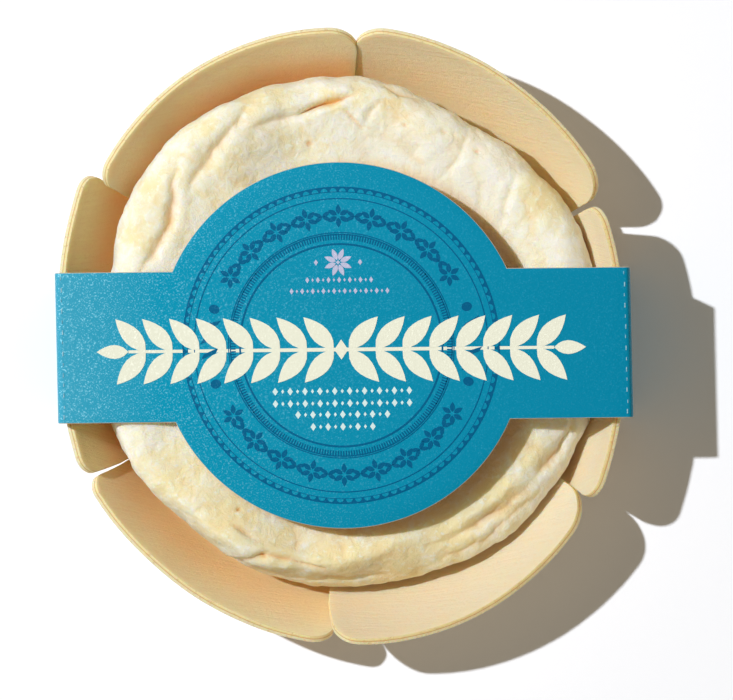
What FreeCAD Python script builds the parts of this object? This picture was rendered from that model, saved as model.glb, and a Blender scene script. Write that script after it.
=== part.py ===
import FreeCAD, Part
import math
import os

# Small soft-ripened cheese in a tray of bent plywood petals, held by a card band.
# Millimetres, +Z up, origin on the floor under the middle of the whole.
# +X runs along the card band and +Y across it.

# card band
card_thickness = 0.45
band_height = 25.0
band_length = 107.1          # between the two top folds
band_foot_length = 105.6     # between the two bottom folds
band_bulge_length = 108.1    # where the petals press the sides out
band_bulge_height = 19.0
band_width = 28.1
band_fold_radius = 0.9
band_turn = 0.52             # degrees
band_centre = (-0.15, -1.3)
disc_radius = 34.5
disc_offset = -0.5           # of the round panel along the band

# tray
ply_thickness = 1.5
floor_radius = 37.5
bend_radius = 8.0            # on the inside of the tray
free_lean = 30.0             # degrees off upright, petals that stand free
held_lean = 23.0             # degrees off upright, petals inside the band
free_rim = 20.0
held_rim = 21.8
cut_reach = 90.0             # longer than any petal
corner_spare = 4.0           # how far the corner cutters stand clear of the ply

# one entry per petal, anticlockwise from the right: the cut before it in degrees,
# the centre and radius of its outer rim, whether the band holds it, its corner radius
petals = [
    (-33.4, (-34.9, -1.4), 88.0, True, 5.0),
    (28.7, (-0.8, 2.4), 56.7, False, 5.5),
    (87.7, (0.3, 5.1), 53.8, False, 4.5),
    (147.1, (34.5, 2.0), 88.0, True, 4.5),
    (208.6, (2.4, -0.9), 57.0, False, 5.0),
    (268.5, (1.1, -6.5), 52.0, False, 6.0),
]
cut_gaps = [0.3, 0.9, 0.3, 0.4, 0.9, 0.3]    # width of the cut before each petal

# cheese
cheese_foot_radius = 37.8
cheese_centre = (1.0, 0.0)
cheese_crest = 17.0          # height of the border above the tray floor
cheese_crest_lift = 1.2      # higher at the left, lower at the right
cheese_top_height = 15.1     # height of the sunken middle
cheese_top_slope = -0.018    # the middle falls to the right
# widest reach of the side every 22.5 degrees, anticlockwise from the right
cheese_reach = [47.0, 47.2, 46.8, 47.6, 49.4, 50.3, 50.4, 48.6,
                47.6, 48.6, 47.2, 48.2, 47.6, 47.6, 47.4, 47.8]
# (share of the way from foot to widest reach, share of the crest's height)
cheese_levels = [(0.2, 0.03), (0.4, 0.115), (0.58, 0.26), (0.75, 0.44), (0.9, 0.61), (1.0, 0.78),
                 (0.9, 0.92), (0.55, 0.995), (0.15, 0.995), (-0.25, 0.95)]
cheese_top_share = -0.75

tray_floor = card_thickness + ply_thickness


def vector(x, y, z):
    return FreeCAD.Vector(x, y, z)


def prism(points, low, high):
    """Upright prism on a polygon of (x, y) points."""
    corners = [vector(x, y, low) for x, y in points]
    corners.append(corners[0])
    face = Part.Face(Part.makePolygon(corners))
    return face.extrude(vector(0, 0, high - low))


def petal_section(rim_radius, lean, rim_height):
    """Cut face of one petal: flat floor, bend and leaning flank, in the XZ plane."""
    slope = math.radians(lean)
    out = vector(math.sin(slope), 0, math.cos(slope))
    across = vector(math.cos(slope), 0, -math.sin(slope))
    bend_rise = bend_radius * (1 - math.sin(slope))
    flank_rise = rim_height - tray_floor - bend_rise
    rim_inside = rim_radius - ply_thickness * math.cos(slope)
    bend_start = rim_inside - flank_rise * math.tan(slope) - bend_radius * math.cos(slope)
    bend_centre = vector(bend_start, 0, tray_floor + bend_radius)
    middle = math.radians((90 - lean) / 2)
    toward_middle = vector(math.sin(middle), 0, -math.cos(middle))
    rim_in = vector(rim_inside, 0, rim_height)
    rim_out = rim_in + across * ply_thickness
    bend_in = rim_in - out * (flank_rise / math.cos(slope))
    bend_out = bend_in + across * ply_thickness
    mid_in = bend_centre + toward_middle * bend_radius
    mid_out = bend_centre + toward_middle * (bend_radius + ply_thickness)
    flat_in = vector(bend_start, 0, tray_floor)
    flat_out = vector(bend_start, 0, card_thickness)
    start = bend_start - floor_radius / 2
    start_top = vector(start, 0, tray_floor)
    start_low = vector(start, 0, card_thickness)
    edges = [
        Part.LineSegment(start_top, flat_in).toShape(),
        Part.Arc(flat_in, mid_in, bend_in).toShape(),
        Part.LineSegment(bend_in, rim_in).toShape(),
        Part.LineSegment(rim_in, rim_out).toShape(),
        Part.LineSegment(rim_out, bend_out).toShape(),
        Part.Arc(bend_out, mid_out, flat_out).toShape(),
        Part.LineSegment(flat_out, start_low).toShape(),
        Part.LineSegment(start_low, start_top).toShape(),
    ]
    return Part.Face(Part.Wire(edges))


def side_line(azimuth, gap):
    """Start point and direction of a petal's side, half a gap off the cut's middle line."""
    turn = math.radians(azimuth)
    along = vector(math.cos(turn), math.sin(turn), 0)
    return vector(-math.sin(turn), math.cos(turn), 0) * (gap / 2), along


def crossing(first, second):
    """Where two side lines meet, near the middle of the tray."""
    (start, along), (other_start, other_along) = first, second
    offset = other_start - start
    run = offset.cross(other_along).z / along.cross(other_along).z
    return start + along * run


def rim_point(line, centre, radius):
    """Where a side line passes the circle of the rim."""
    start, along = line
    offset = start - centre
    half = offset.dot(along)
    return start + along * (-half + math.sqrt(half * half - offset.dot(offset) + radius * radius))


def petal_wedge(first, second):
    """Room of one petal between its two side lines."""
    tip = crossing(first, second)
    points = [tip, tip + first[1] * cut_reach, tip + second[1] * cut_reach]
    return prism([(point.x, point.y) for point in points], 0, held_rim + ply_thickness)


def corner_cutter(line, centre, radius, lean, rim_height, corner_radius, toward_middle):
    """Solid that takes a petal's sharp rim corner off to a round one, square to its flank."""
    corner = rim_point(line, centre, radius)
    outward = (corner - centre).normalize()
    slope = math.radians(lean)
    normal = outward * math.cos(slope) - vector(0, 0, math.sin(slope))
    along_rim = vector(0, 0, 1).cross(outward) * toward_middle
    side_normal = vector(0, 0, 1).cross(line[1])
    down_side = normal.cross(side_normal).normalize()
    if down_side.z > 0:
        down_side = down_side * -1
    corner = corner + vector(0, 0, rim_height)
    half_angle = along_rim.getAngle(down_side) / 2
    reach = corner_radius / math.tan(half_angle)
    inward = (along_rim + down_side).normalize()
    middle = corner + inward * (corner_radius / math.sin(half_angle))
    on_rim = corner + along_rim * reach
    on_side = corner + down_side * reach
    off_rim = (on_rim - middle).normalize() * corner_spare
    off_side = (on_side - middle).normalize() * corner_spare
    outline = Part.Wire([
        Part.Arc(on_side, middle - inward * corner_radius, on_rim).toShape(),
        Part.LineSegment(on_rim, on_rim + off_rim).toShape(),
        Part.LineSegment(on_rim + off_rim, corner + off_rim + off_side).toShape(),
        Part.LineSegment(corner + off_rim + off_side, on_side + off_side).toShape(),
        Part.LineSegment(on_side + off_side, on_side).toShape(),
    ])
    outline.translate(normal * -corner_spare)
    return Part.Face(outline).extrude(normal * (2 * corner_spare))


def make_petal(index):
    start, rim_centre, rim_radius, held, corner_radius = petals[index]
    following = (index + 1) % len(petals)
    end = petals[following][0]
    if end < start:
        end += 360
    lean = held_lean if held else free_lean
    rim_height = held_rim if held else free_rim
    centre = vector(rim_centre[0], rim_centre[1], 0)
    ring = petal_section(rim_radius, lean, rim_height).revolve(vector(0, 0, 0), vector(0, 0, 1), 180)
    ring.rotate(vector(0, 0, 0), vector(0, 0, 1), (start + end) / 2 - 90)
    ring.translate(centre)
    first = side_line(start, cut_gaps[index])
    second = side_line(end, -cut_gaps[following])
    petal = ring.common(petal_wedge(first, second))
    for line, toward_middle in ((first, 1), (second, -1)):
        cutter = corner_cutter(line, centre, rim_radius, lean, rim_height, corner_radius, toward_middle)
        petal = petal.cut(cutter)
    return petal


def make_tray():
    floor = Part.makeCylinder(floor_radius, ply_thickness, vector(0, 0, card_thickness))
    shapes = [make_petal(index) for index in range(len(petals))]
    return floor.fuse(shapes).removeSplitter().Solids[0]


def ring_curve(points):
    curve = Part.BSplineCurve()
    curve.interpolate(Points=points, PeriodicFlag=True)
    return Part.Wire([curve.toShape()])


def cheese_ring(share, height_share):
    """Closed curve round the cheese; a height share of None lies in the sunken middle."""
    points = []
    steps = len(cheese_reach)
    for step in range(steps):
        azimuth = 2 * math.pi * step / steps
        foot = cheese_foot_radius
        radius = foot + (cheese_reach[step] - foot) * share
        shift = max(0.0, min(1.0, share))
        x = cheese_centre[0] * shift + radius * math.cos(azimuth)
        y = cheese_centre[1] * shift + radius * math.sin(azimuth)
        crest = cheese_crest - cheese_crest_lift * math.cos(azimuth)
        if height_share is None:
            z = cheese_top_height + cheese_top_slope * x
        else:
            z = crest * height_share
        points.append(vector(x, y, tray_floor + z))
    return ring_curve(points)


def make_cheese():
    rings = [cheese_ring(0.0, 0.0)]
    rings += [cheese_ring(share, height) for share, height in cheese_levels]
    rings.append(cheese_ring(cheese_top_share, None))
    return Part.makeLoft(rings, True, False)


def band_block(inset):
    """Solid bounded by the band's outside, or by its inside when inset by the card."""
    top = band_height - inset
    low = inset
    half_top = band_length / 2 - inset
    half_low = band_foot_length / 2 - inset
    half_bulge = band_bulge_length / 2 - inset
    edge = -band_width / 2
    top_left = vector(-half_top, edge, top)
    top_right = vector(half_top, edge, top)
    low_left = vector(-half_low, edge, low)
    low_right = vector(half_low, edge, low)
    bulge_left = vector(-half_bulge, edge, band_bulge_height)
    bulge_right = vector(half_bulge, edge, band_bulge_height)
    wire = Part.Wire([
        Part.LineSegment(top_left, top_right).toShape(),
        Part.Arc(top_right, bulge_right, low_right).toShape(),
        Part.LineSegment(low_right, low_left).toShape(),
        Part.Arc(low_left, bulge_left, top_left).toShape(),
    ])
    block = Part.Face(wire).extrude(vector(0, band_width, 0))
    folds = [line for line in block.Edges if abs(line.Length - band_width) < 0.001]
    return block.makeFillet(band_fold_radius - inset, folds)


def make_sleeve():
    disc_low = vector(disc_offset, 0, band_height - card_thickness)
    disc = Part.makeCylinder(disc_radius, card_thickness, disc_low)
    loop = band_block(0.0).cut(band_block(card_thickness))
    sleeve = loop.fuse(disc).removeSplitter().Solids[0]
    sleeve.rotate(vector(0, 0, 0), vector(0, 0, 1), band_turn)
    sleeve.translate(vector(band_centre[0], band_centre[1], 0))
    return sleeve


def centre_on_floor(shapes):
    """Move the shapes so that the middle of their common box is over the origin."""
    box = Part.makeCompound(list(shapes.values())).optimalBoundingBox()
    shift = vector(-box.Center.x, -box.Center.y, -box.ZMin)
    for shape in shapes.values():
        shape.translate(shift)
    return shift


nodes = {
    "tray": make_tray(),
    "cheese": make_cheese(),
    "sleeve": make_sleeve(),
}
moved = centre_on_floor(nodes)
print("moved by", [round(value, 3) for value in moved])

os.makedirs("parts", exist_ok=True)
for name, shape in nodes.items():
    box = shape.optimalBoundingBox()
    low = [round(value, 2) for value in (box.XMin, box.YMin, box.ZMin)]
    high = [round(value, 2) for value in (box.XMax, box.YMax, box.ZMax)]
    print(name, "valid", shape.isValid(), "volume", round(shape.Volume, 1), "box", low, high)
    shape.exportStep("parts/" + name + ".step")
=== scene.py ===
import math

import bmesh
import bpy
import numpy as np
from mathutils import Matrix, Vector, noise


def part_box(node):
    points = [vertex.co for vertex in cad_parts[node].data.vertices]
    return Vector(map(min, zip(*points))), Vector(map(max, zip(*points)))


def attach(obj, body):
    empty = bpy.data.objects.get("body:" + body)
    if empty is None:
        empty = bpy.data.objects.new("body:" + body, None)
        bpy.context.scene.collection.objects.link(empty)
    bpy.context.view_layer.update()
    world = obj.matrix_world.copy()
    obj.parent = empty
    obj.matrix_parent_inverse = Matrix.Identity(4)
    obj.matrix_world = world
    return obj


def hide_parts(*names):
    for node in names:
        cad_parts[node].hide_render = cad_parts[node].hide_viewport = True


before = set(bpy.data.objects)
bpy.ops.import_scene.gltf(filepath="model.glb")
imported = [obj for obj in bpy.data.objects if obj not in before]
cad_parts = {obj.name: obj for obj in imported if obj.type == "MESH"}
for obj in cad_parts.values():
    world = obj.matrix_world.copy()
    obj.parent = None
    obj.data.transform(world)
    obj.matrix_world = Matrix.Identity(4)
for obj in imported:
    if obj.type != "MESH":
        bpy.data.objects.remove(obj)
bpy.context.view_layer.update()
mm = 0.001


# helpers that every piece uses
def tint(red, green, blue):
    # colour given as 0-255 screen values, as the linear values the shader wants
    shares = [value / 255 for value in (red, green, blue)]
    return [s / 12.92 if s <= 0.04045 else ((s + 0.055) / 1.055) ** 2.4 for s in shares] + [1.0]


def smooth(low, high, values):
    share = np.clip((values - low) / (high - low), 0, 1)
    return share * share * (3 - 2 * share)


def addNode(tree, kind, inputs=None, **settings):
    made = tree.nodes.new(kind)
    for key, value in settings.items():
        setattr(made, key, value)
    for key, value in (inputs or {}).items():
        if isinstance(value, bpy.types.NodeSocket):
            tree.links.new(value, made.inputs[key])
        else:
            made.inputs[key].default_value = value
    return made


def calc(tree, operation, first, second=0.0):
    return addNode(tree, "ShaderNodeMath", {0: first, 1: second}, operation=operation).outputs[0]


def makeMesh(name, points, faces):
    mesh = bpy.data.meshes.new(name)
    mesh.from_pydata((np.asarray(points) * mm).tolist(), [], faces)
    shell = bmesh.new()
    shell.from_mesh(mesh)
    bmesh.ops.recalc_face_normals(shell, faces=shell.faces)
    shell.to_mesh(mesh)
    shell.free()
    mesh.polygons.foreach_set("use_smooth", np.ones(len(mesh.polygons), dtype=bool))
    mesh.update()
    return mesh


def addValues(mesh, name, values):
    layer = mesh.attributes.new(name, "FLOAT", "POINT")
    layer.data.foreach_set("value", np.asarray(values, dtype=np.float32))


def gridFaces(columns, rows, first=0, wrap=False):
    # quads of a grid stored column by column
    faces = []
    for column in range(columns if wrap else columns - 1):
        here = first + column * rows
        after = first + (column + 1) % columns * rows
        faces += [(here + row, after + row, after + row + 1, here + row + 1) for row in range(rows - 1)]
    return faces


def loopFaces(one, two):
    # quads between two closed loops of point numbers
    afterOne, afterTwo = np.roll(one, -1), np.roll(two, -1)
    return [tuple(corners) for corners in np.stack([one, afterOne, afterTwo, two], axis=1).tolist()]


def placeOf(node):
    # middle of a node's box in x and y, its underside and its top, in millimetres
    low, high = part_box(node)
    return (low.x + high.x) / 2 / mm, (low.y + high.y) / 2 / mm, low.z / mm, high.z / mm


def fractalNoise(points, size, octaves, shift):
    # smooth random field over points in millimetres, size is the width of its lumps
    moved = np.asarray(points) / size + shift
    return np.array([noise.fractal(Vector(p), 0.9, 2.1, octaves) for p in moved.tolist()])


def plainNoise(points, size, shift):
    moved = np.asarray(points) / size + shift
    return np.array([noise.noise(Vector(p)) for p in moved.tolist()])


def addObject(name, data):
    made = bpy.data.objects.new(name, data)
    bpy.context.scene.collection.objects.link(made)
    return made


def placePiece(mesh, name, material, node):
    if not mesh.materials:
        mesh.materials.append(material)
    piece = addObject(name, mesh)
    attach(piece, "root")
    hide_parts(node)
    return piece


# camera, floor and light
studio = {
    "cameraHeight": 0.950,
    "cameraOver": (0.00425, -0.0024),
    "lens": 241.7,
    "keyPlace": (-1.056, 0.477, 1.539),
    "keyPower": 141.0,
    "keyRadius": 0.024,
    "keyColour": (1.0, 1.0, 1.0),
    "skyColour": (1.0, 0.85, 0.63),
    "skyStrength": 0.215,
    "skyTowards": (0.87, -0.49, 0.0),    # the brighter side of the sky
    "skySlant": 0.95,              # how much brighter the sky is that way than overhead
    "floorSize": 4.0,
    "floorColour": (0.80, 0.78, 0.75),
    "floorShown": (1.03, 1.07, 1.15),    # colour in which the floor shows itself
}


def makeCamera():
    data = bpy.data.cameras.new("camera")
    data.sensor_width = 36
    data.lens = studio["lens"]
    data.clip_start = 0.01
    data.clip_end = 10
    camera = addObject("camera", data)
    camera.location = (*studio["cameraOver"], studio["cameraHeight"])
    bpy.context.scene.camera = camera


def makeKey():
    data = bpy.data.lights.new("keyLight", "POINT")
    data.shadow_soft_size = studio["keyRadius"]
    data.energy = studio["keyPower"]
    data.color = studio["keyColour"]
    addObject("keyLight", data).location = studio["keyPlace"]


def showItself(tree, output, lit, seen):
    # lit is how it lights the pieces, seen is how the camera, gloss and glass see it
    path = addNode(tree, "ShaderNodeLightPath").outputs
    either = calc(tree, "MAXIMUM", path["Is Camera Ray"], path["Is Glossy Ray"])
    share = calc(tree, "MAXIMUM", either, path["Is Transmission Ray"])
    mixed = addNode(tree, "ShaderNodeMixShader", {0: share, 1: lit.outputs[0], 2: seen.outputs[0]})
    addNode(tree, output, {"Surface": mixed.outputs[0]})


def makeSky():
    world = bpy.data.worlds.new("softSky")
    bpy.context.scene.world = world
    world.use_nodes = True
    tree = world.node_tree
    tree.nodes.clear()
    towards = addNode(tree, "ShaderNodeTexCoord").outputs["Generated"]
    right = addNode(tree, "ShaderNodeVectorMath", {0: towards, 1: studio["skyTowards"]},
                    operation="DOT_PRODUCT").outputs["Value"]
    slant = calc(tree, "MULTIPLY", right, studio["skySlant"] * studio["skyStrength"])
    warmFill = addNode(tree, "ShaderNodeBackground", {"Color": (*studio["skyColour"], 1),
                   "Strength": calc(tree, "ADD", slant, studio["skyStrength"])})
    white = addNode(tree, "ShaderNodeBackground", {"Color": (1, 1, 1, 1), "Strength": 1.0})
    showItself(tree, "ShaderNodeOutputWorld", warmFill, white)


def makeFloor():
    half = studio["floorSize"] / 2
    mesh = bpy.data.meshes.new("floor")
    corners = [(-half, -half, 0), (half, -half, 0), (half, half, 0), (-half, half, 0)]
    mesh.from_pydata(corners, [], [(0, 1, 2, 3)])
    material = bpy.data.materials.new("paleFloor")
    material.use_nodes = True
    tree = material.node_tree
    tree.nodes.clear()
    lit = addNode(tree, "ShaderNodeBsdfDiffuse", {"Color": (*studio["floorColour"], 1)})
    seen = addNode(tree, "ShaderNodeBsdfDiffuse", {"Color": (*studio["floorShown"], 1)})
    showItself(tree, "ShaderNodeOutputMaterial", lit, seen)
    mesh.materials.append(material)
    addObject("floor", mesh)


bpy.context.scene.view_settings.view_transform = "Standard"
makeCamera()
makeKey()
makeSky()
makeFloor()
print("camera, light and floor ready")


# helpers that every material uses
def newMaterial(name, values):
    material = bpy.data.materials.new(name)
    material.use_nodes = True
    tree = material.node_tree
    shader = tree.nodes["Principled BSDF"]
    for key, value in values.items():
        shader.inputs[key].default_value = value
    return material, tree, shader


def linkFinish(tree, shader, colour, roughness, height, strength, distance):
    # what every finish has: its colour, its roughness and a fine relief
    bump = addNode(tree, "ShaderNodeBump", {"Strength": strength, "Distance": distance, "Height": height})
    fields = {"Base Color": colour, "Roughness": roughness, "Normal": bump.outputs[0]}
    for key, value in fields.items():
        tree.links.new(value, shader.inputs[key])


def noiseOf(tree, where, scale, detail=3.0, roughness=0.5, distortion=0.0):
    made = addNode(tree, "ShaderNodeTexNoise", {"Vector": where, "Scale": scale, "Detail": detail,
                   "Roughness": roughness, "Distortion": distortion})
    return made.outputs["Fac"]


def mixColour(tree, share, first, second):
    made = addNode(tree, "ShaderNodeMix", {"Factor": share, 6: first, 7: second}, data_type="RGBA")
    return made.outputs[2]


def rangeOf(tree, value, fromLow, fromHigh, low=0.0, high=1.0):
    made = addNode(tree, "ShaderNodeMapRange", {0: value, 1: fromLow, 2: fromHigh, 3: low, 4: high})
    made.interpolation_type = "SMOOTHSTEP"
    return made.outputs[0]


def layered(tree, *parts):
    # adds weighted fields together into one height
    total = None
    for value, weight in parts:
        scaled = calc(tree, "MULTIPLY", value, weight)
        total = scaled if total is None else calc(tree, "ADD", total, scaled)
    return total


def coated(tree, colour, *coats):
    # lays coats over a colour: each has a field, the range it comes up over, its share and tint
    for field, low, high, share, over in coats:
        colour = mixColour(tree, rangeOf(tree, field, low, high, 0.0, share), colour, tint(*over))
    return colour


def rampOf(tree, value, stops):
    ramp = addNode(tree, "ShaderNodeValToRGB", {"Fac": value})
    elements = ramp.color_ramp.elements
    while len(elements) < len(stops):
        elements.new(0.5)
    for element, (place, colour) in zip(elements, stops):
        element.position = place
        element.color = colour
    return ramp.outputs["Color"]


def attributeOf(tree, name):
    return addNode(tree, "ShaderNodeAttribute", attribute_name=name).outputs["Fac"]


def objectPoint(tree):
    return addNode(tree, "ShaderNodeTexCoord").outputs["Object"]


# the cheese
cheeseValues = {
    # widest reach of the side every 15 degrees, anticlockwise from the right
    "reach": [47.3, 47.9, 48.1, 46.7, 46.3, 47.4, 48.9, 48.7, 49.5, 49.9, 48.6, 46.6,
              47.0, 48.0, 48.4, 47.3, 47.9, 48.7, 48.4, 47.7, 48.4, 48.6, 48.1, 48.6],
    "footRadius": 37.8,
    "crestLift": 0.25,             # higher at the left
    "leftSwell": 4.0,              # the left end swells up under the band
    "pressedTop": 24.2,            # the band lies on it at this height
    "middleDrop": 2.0,             # how far the middle lies under the border
    "columns": 720,
    # how far the border's crest lies in from the reach, every 30 degrees
    "crestInset": [7.0, 5.0, 5.5, 5.0, 4.6, 4.5, 4.5, 3.0, 2.6, 4.8, 8.5, 9.5],
    # how much higher the border stands there, every 30 degrees
    "borderSwell": [0.6, 0.0, 0.0, 0.0, 0.0, 0.0, 0.0, 0.0, 0.2, 0.0, -2.0, -0.5],
    # height of its widest place, as a share of its rise: usual, and every 30 degrees
    "usualSide": 0.76,
    "sideShare": [0.8, 0.76, 0.76, 0.76, 0.76, 0.76, 0.76, 0.74, 0.54, 0.46, 0.73, 0.67],
    # painted shadow: darker golden rind under the edge of the card's round panel, where its shadow falls
    "panelShadow": {"place": (1.8, -1.9), "low": 33.5, "high": 37.0, "share": 0.48},
    "lumpHeight": 0.5,
    "foldHeights": (0.16, 0.10),   # of the wide and the narrow wrinkles
    "rippleHeight": 0.10,
    "edgeHeight": 0.45,            # uneven folds of the side
    "edgeWrinkle": 0.09,           # fine wrinkles that run along the side
    "edgeZone": (38.0, 46.0),      # where both come up, out from the middle
    "grainHeight": 0.08,
}
# creases in the rind: points in millimetres, half width, depth, raised lips, brown share (the rind's
# browner folds, partly painted crease shade)
creases = [
    ([(2.2, 45.8), (-1.2, 44.9), (-3.6, 44.1), (-8.4, 42.3)], 0.5, 2.0, 0.3, 1.0),
    ([(-4.6, 43.7), (-9.8, 41.7), (-12.9, 40.6), (-17.6, 39.4)], 1.0, 0.9, 0.15, 0.2),
    ([(-17.6, 44.6), (-19.9, 40.9), (-21.6, 38.5), (-23.5, 36.4), (-26.3, 32.4), (-29.6, 26.8)],
     1.0, 1.0, 0.2, 0.25),
    ([(-31.0, 33.0), (-32.0, 29.2), (-32.2, 25.0), (-32.6, 21.6), (-34.8, 17.7), (-38.2, 11.6)],
     0.8, 1.1, 0.25, 0.5),
    ([(0.0, 43.2), (1.7, 41.4), (4.0, 38.8)], 0.4, 0.5, 0.1, 0.5),
    ([(3.6, 39.6), (5.2, 42.6), (7.6, 45.7)], 0.5, 0.4, 0.1, 0.2),
    ([(24.4, 41.8), (22.3, 36.4), (21.4, 33.7), (16.6, 28.4)], 0.5, 0.35, 0.0, 0.1),
    ([(32.6, 31.4), (31.2, 27.0), (29.2, 21.0)], 0.6, 0.45, 0.1, 0.12),
    ([(7.6, 47.6), (10.6, 46.2), (13.6, 45.9)], 0.4, 0.6, 0.3, 0.5),
    ([(-21.0, -35.4), (-18.8, -36.6), (-16.6, -38.2)], 0.5, 0.7, 0.25, 0.3),
    ([(-20.6, -42.0), (-14.4, -41.0), (-9.4, -42.2), (-2.2, -44.4)], 0.5, 0.8, 0.25, 0.45),
    ([(-6.4, -46.2), (1.8, -45.9), (9.4, -45.0)], 0.45, 0.6, 0.15, 0.2),
    ([(42.4, -18.8), (39.4, -22.6), (36.6, -26.2)], 0.9, 0.9, 0.3, 0.45),
    ([(35.6, -27.6), (31.0, -32.2), (27.8, -34.0), (21.4, -37.5)], 1.2, 0.9, 0.3, 0.45),
    ([(38.2, -16.0), (34.6, -24.2), (29.4, -30.4), (19.6, -36.9)], 2.2, -0.7, 0.0, 0.0),
    ([(44.6, -12.0), (42.8, -17.6), (39.8, -23.6)], 0.5, 0.6, 0.25, 0.2),
    ([(37.6, -28.2), (33.0, -33.4), (26.6, -38.6), (17.0, -43.0)], 0.7, 0.45, 0.2, 0.3),
    ([(31.6, -30.2), (25.0, -35.8), (15.4, -40.2)], 0.6, 0.25, 0.1, 0.1),
    ([(-42.6, -17.6), (-38.2, -25.5), (-31.2, -33.3), (-23.0, -39.9), (-13.8, -43.6)], 0.8, -0.5, 0.0, 0.0),
    ([(-43.3, -18.4), (-39.2, -26.5), (-32.0, -34.5), (-21.6, -42.2)], 0.45, 0.8, 0.0, 0.25),
]
# small hollows: place, radius, depth, brown share (browner rind, partly painted shade in the hollow)
hollows = [
    ((-6.6, 36.6), 0.55, 0.5, 0.7), ((25.2, 35.3), 0.5, 0.4, 0.5), ((18.9, 38.8), 0.6, 0.3, 0.2),
    ((11.4, 40.1), 0.45, 0.45, 0.5), ((-15.2, -41.2), 0.7, 0.6, 0.8), ((-19.9, -32.5), 0.35, 0.5, 1.0),
    ((13.4, 35.4), 1.6, 0.35, 0.0), ((-26.5, 35.0), 2.4, 0.5, 0.0), ((-11.0, 39.0), 2.2, 0.3, 0.0),
]
# where the rind turns yellow: place, radius, share
yellowPatches = [
    ((38.0, 27.5), 5.5, 0.85), ((33.5, 33.0), 3.0, 0.35), ((10.0, 44.6), 3.4, 0.55),
    ((3.5, 46.0), 2.5, 0.4), ((-2.5, 44.8), 2.2, 0.7), ((-17.0, 45.4), 4.0, 0.6),
    ((-13.0, 46.2), 3.2, 0.5), ((-26.0, 39.6), 4.0, 0.45), ((-36.5, 27.5), 3.4, 0.5),
    ((-39.0, 19.5), 3.8, 0.45), ((-33.0, 22.0), 1.8, 0.4), ((-20.0, 28.5), 2.6, 0.35),
    ((-31.5, -26.0), 7.5, 0.5), ((-22.0, -34.0), 7.0, 0.65), ((-12.0, -40.5), 6.5, 0.6),
    ((-1.0, -42.5), 7.5, 0.7), ((10.0, -42.5), 7.5, 0.75), ((20.0, -37.5), 7.0, 0.75),
    ((29.0, -29.5), 5.5, 0.7), ((35.0, -22.0), 5.0, 0.55), ((43.5, 8.0), 3.0, 0.5),
    ((44.5, -9.0), 3.0, 0.4), ((24.0, 39.5), 3.0, 0.35), ((-25.0, 33.0), 11.0, 0.3),
    ((-9.0, 40.0), 8.0, 0.25),
]
# where the bloom lies whitest: place, radius, share
whitePatches = [((23.5, 31.5), 9.0, 0.5), ((7.0, 36.5), 5.0, 0.2)]


def betweenFour(before, start, end, after, t):
    # smooth curve between start and end through all four
    return start + 0.5 * t * (end - before + t * (2 * before - 5 * start + 4 * end - after
                              + t * (3 * (start - end) + after - before)))


def everyStep(values, angles):
    # smooth closed curve through evenly spaced values
    place = (angles / (2 * math.pi) * len(values)) % len(values)
    start = np.floor(place).astype(int)
    near = [np.take(values, (start + k) % len(values)) for k in (-1, 0, 1, 2)]
    return betweenFour(*near, place - start)


def smoothThrough(controls, counts):
    # curve through control rows, counts gives how many steps each span gets
    rows = []
    last = len(controls) - 1
    for span, count in enumerate(counts):
        near = [controls[min(max(span + k, 0), last)] for k in (-1, 0, 1, 2)]
        rows += [betweenFour(*near, step / count) for step in range(count)]
    return np.array(rows + [controls[last]])


def distanceAlong(x, y, points):
    # distance to a line of points, and how far along it the nearest place lies (0 to 1)
    best = np.full(x.shape, 1e9)
    along = np.zeros(x.shape)
    pieces = [np.hypot(b[0] - a[0], b[1] - a[1]) for a, b in zip(points, points[1:])]
    passed = 0.0
    for (a, b), length in zip(zip(points, points[1:]), pieces):
        t = np.clip(((x - a[0]) * (b[0] - a[0]) + (y - a[1]) * (b[1] - a[1])) / length ** 2, 0, 1)
        away = np.hypot(x - a[0] - t * (b[0] - a[0]), y - a[1] - t * (b[1] - a[1]))
        nearer = away < best
        best = np.where(nearer, away, best)
        along = np.where(nearer, (passed + t * length) / sum(pieces), along)
        passed += length
    return best, along


def cheeseRings(centre, floor, top):
    # rows of points round the cheese from the middle of its foot to the middle of its top
    columns = cheeseValues["columns"]
    angles = np.arange(columns) * 2 * math.pi / columns
    foot = cheeseValues["footRadius"]
    reach, inset, side, swell = [everyStep(np.array(cheeseValues[key]), angles)
                                 for key in ("reach", "crestInset", "sideShare", "borderSwell")]
    usual = cheeseValues["usualSide"]
    side = side / usual
    rise = top - floor - cheeseValues["crestLift"] * (1 + np.cos(angles)) + swell
    middle = rise - cheeseValues["middleDrop"]
    flat = np.ones(columns)
    spread = reach - foot
    controls = [
        (0.05 * flat, 0 * flat), (20 * flat, 0 * flat), (foot - 2.0 + 0 * flat, 0 * flat),
        (foot + spread * 0.2, rise * side * 0.03), (foot + spread * 0.4, rise * side * 0.115),
        (foot + spread * 0.75, rise * side * 0.42), (foot + spread * 0.95, rise * side * 0.63),
        (reach, rise * side * usual), (reach - inset * 0.3, rise * (0.925 - 0.55 * (1 - side))),
        (reach - inset, rise), (reach - inset - 4, rise - 0.4),
        (reach - inset - 10, middle + 0.6), (26 * flat, middle), (12 * flat, middle - 0.2),
        (0.05 * flat, middle - 0.2),
    ]
    counts = [2, 2, 3, 3, 8, 8, 14, 22, 22, 16, 16, 10, 4, 3]
    radius, height = (smoothThrough(np.array(part), counts) for part in zip(*controls))
    x = centre[0] + radius * np.cos(angles)
    y = centre[1] + radius * np.sin(angles)
    swollen = smooth(-6, -26, x) * smooth(0.3 * rise, 0.9 * rise, height)
    height = height + cheeseValues["leftSwell"] * swollen
    return np.stack([x, y, floor + height], axis=2)


def softFolds(points, size, shift, width):
    # broken wrinkles: a network of soft folds that fades in and out
    field = plainNoise(points, size, shift)
    mask = smooth(-0.05, 0.35, plainNoise(points, size * 1.7, shift + 20))
    return mask * np.exp(-(np.abs(field) / width) ** 1.4)


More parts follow.
